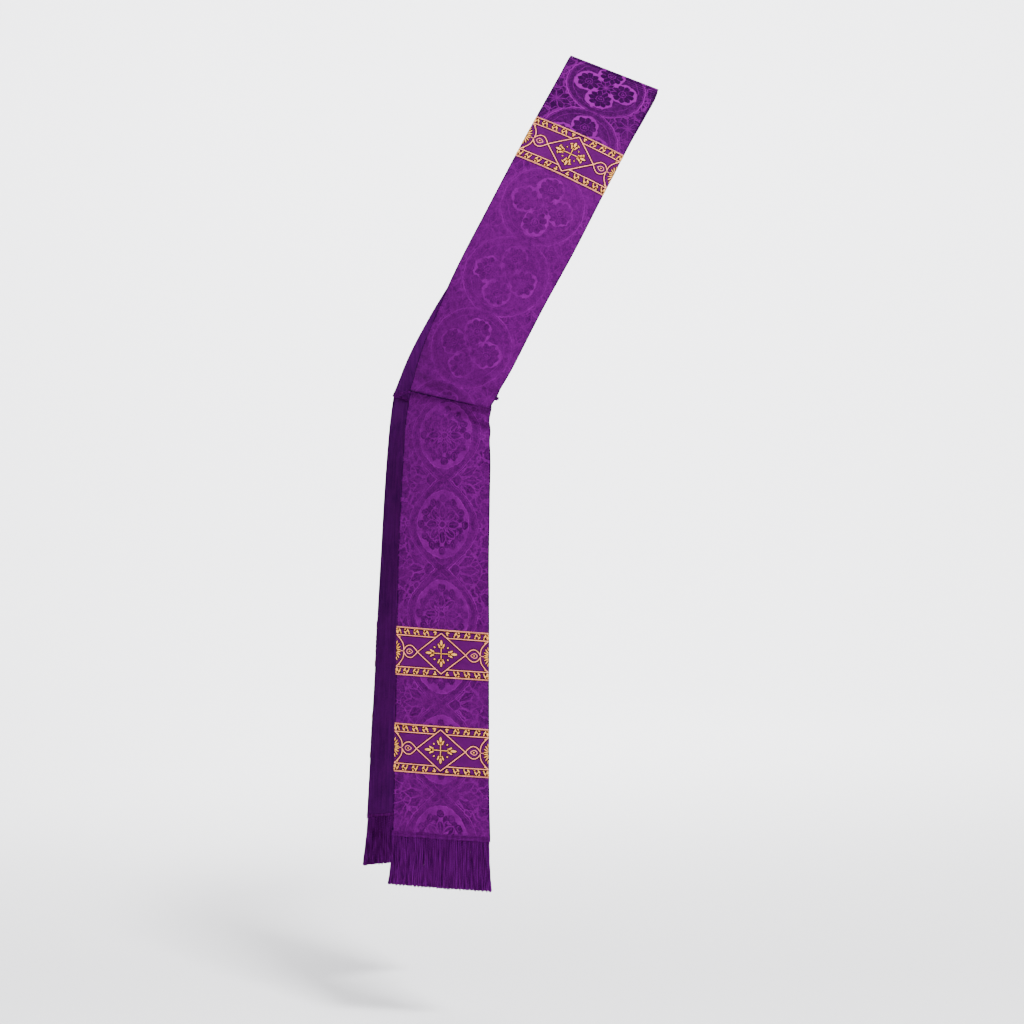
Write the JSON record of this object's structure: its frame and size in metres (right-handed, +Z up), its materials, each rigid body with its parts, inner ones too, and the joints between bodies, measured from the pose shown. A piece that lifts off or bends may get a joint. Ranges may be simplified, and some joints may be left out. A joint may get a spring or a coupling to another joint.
{
  "type": "clerical stole",
  "caption": "Deacon's stole worn over the left shoulder, crossing chest and back to a tuck at the right hip, with trim bands, fringed ends and a tie cord.",
  "frame": {"origin": "middle of the shoulder seam, on the inner face of the cloth, where the wearer's left shoulder carries the stole", "axes": "+Z up, the wearer faces -Y, +X towards the wearer's left"},
  "size_m": [0.4555, 0.2881, 1.253],
  "materials": {
    "damask": "tone-on-tone purple damask, matt ground with satin figure, plain lining inside",
    "galloon": "woven galloon braid, metallic copper-gold figure on purple ground",
    "fringe": "twisted purple thread fringe",
    "cord": "twisted purple rayon cord"
  },
  "bodies": {
    "root": {"front_half": "damask", "back_half": "damask", "front_shoulder_band": "galloon", "front_upper_band": "galloon", "front_lower_band": "galloon", "back_shoulder_band": "galloon", "back_upper_band": "galloon", "back_lower_band": "galloon", "front_fringe": "fringe", "back_fringe": "fringe", "tie_cord": "cord"}
  },
  "joints": []
}
